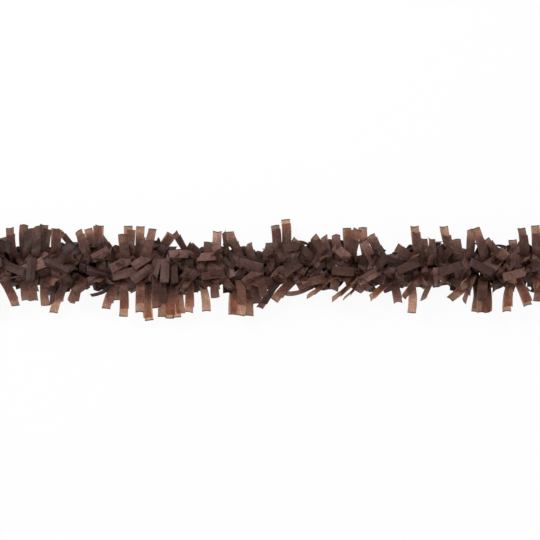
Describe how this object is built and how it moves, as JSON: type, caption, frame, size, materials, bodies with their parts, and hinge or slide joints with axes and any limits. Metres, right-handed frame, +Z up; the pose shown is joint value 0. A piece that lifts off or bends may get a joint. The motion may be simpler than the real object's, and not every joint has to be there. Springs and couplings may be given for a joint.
{
  "type": "tissue festooning garland",
  "caption": "Length of fringed tissue garland: slit paper plies bound to a string, with a tied hanging loop at each end.",
  "frame": {"origin": "middle of the footprint, on the surface that the garland lies on", "axes": "+X along the garland towards its right end, +Y across it, away from the front, +Z up"},
  "size_m": [0.7058, 0.0992, 0.0575],
  "materials": {
    "tissue_ply_1": "matte",
    "tissue_ply_2": "matte",
    "tissue_ply_3": "matte",
    "tissue_ply_4": "matte",
    "cotton_string": "matte",
    "binding_thread": "matte"
  },
  "bodies": {
    "section_1": {"section_1_ply_1": "tissue_ply_1", "section_1_ply_2": "tissue_ply_2", "section_1_ply_3": "tissue_ply_3", "section_1_ply_4": "tissue_ply_4", "section_1_string": "cotton_string", "section_1_binding_thread": "binding_thread"},
    "section_2": {"section_2_ply_1": "tissue_ply_1", "section_2_ply_2": "tissue_ply_2", "section_2_ply_3": "tissue_ply_3", "section_2_ply_4": "tissue_ply_4", "section_2_string": "cotton_string", "section_2_binding_thread": "binding_thread"},
    "section_3": {"section_3_ply_1": "tissue_ply_1", "section_3_ply_2": "tissue_ply_2", "section_3_ply_3": "tissue_ply_3", "section_3_ply_4": "tissue_ply_4", "section_3_string": "cotton_string", "section_3_binding_thread": "binding_thread"},
    "section_4": {"section_4_ply_1": "tissue_ply_1", "section_4_ply_2": "tissue_ply_2", "section_4_ply_3": "tissue_ply_3", "section_4_ply_4": "tissue_ply_4", "section_4_string": "cotton_string", "section_4_binding_thread": "binding_thread"},
    "section_5": {"section_5_ply_1": "tissue_ply_1", "section_5_ply_2": "tissue_ply_2", "section_5_ply_3": "tissue_ply_3", "section_5_ply_4": "tissue_ply_4", "section_5_string": "cotton_string", "section_5_binding_thread": "binding_thread"},
    "section_6": {"section_6_ply_1": "tissue_ply_1", "section_6_ply_2": "tissue_ply_2", "section_6_ply_3": "tissue_ply_3", "section_6_ply_4": "tissue_ply_4", "section_6_string": "cotton_string", "section_6_binding_thread": "binding_thread"},
    "left_end": {"left_tail": "cotton_string", "left_knot": "cotton_string", "left_loop": "cotton_string"},
    "right_end": {"right_tail": "cotton_string", "right_knot": "cotton_string", "right_loop": "cotton_string"}
  },
  "joints": [
    {"name": "bend_1_2", "type": "hinge", "parent": "section_2", "child": "section_1", "pos_m": [-0.19, 0, 0.014], "axis": [0, 1, 0], "range_deg": [-12, 12]},
    {"name": "sway_2_3", "type": "hinge", "parent": "section_3", "child": "section_2", "pos_m": [-0.095, 0, 0.014], "axis": [0, 0, -1], "range_deg": [-12, 12]},
    {"name": "twist_3_4", "type": "hinge", "parent": "section_3", "child": "section_4", "pos_m": [0, 0, 0.014], "axis": [1, 0, 0], "range_deg": [-45, 45]},
    {"name": "sway_4_5", "type": "hinge", "parent": "section_4", "child": "section_5", "pos_m": [0.095, 0, 0.014], "axis": [0, 0, 1], "range_deg": [-12, 12]},
    {"name": "bend_5_6", "type": "hinge", "parent": "section_5", "child": "section_6", "pos_m": [0.19, 0, 0.014], "axis": [0, -1, 0], "range_deg": [-12, 12]},
    {"name": "left_loop_swing", "type": "hinge", "parent": "section_1", "child": "left_end", "pos_m": [-0.2855, 0, 0.014], "axis": [0, 0, -1], "range_deg": [-40, 40]},
    {"name": "right_loop_swing", "type": "hinge", "parent": "section_6", "child": "right_end", "pos_m": [0.2855, 0, 0.014], "axis": [0, 0, 1], "range_deg": [-40, 40]}
  ]
}
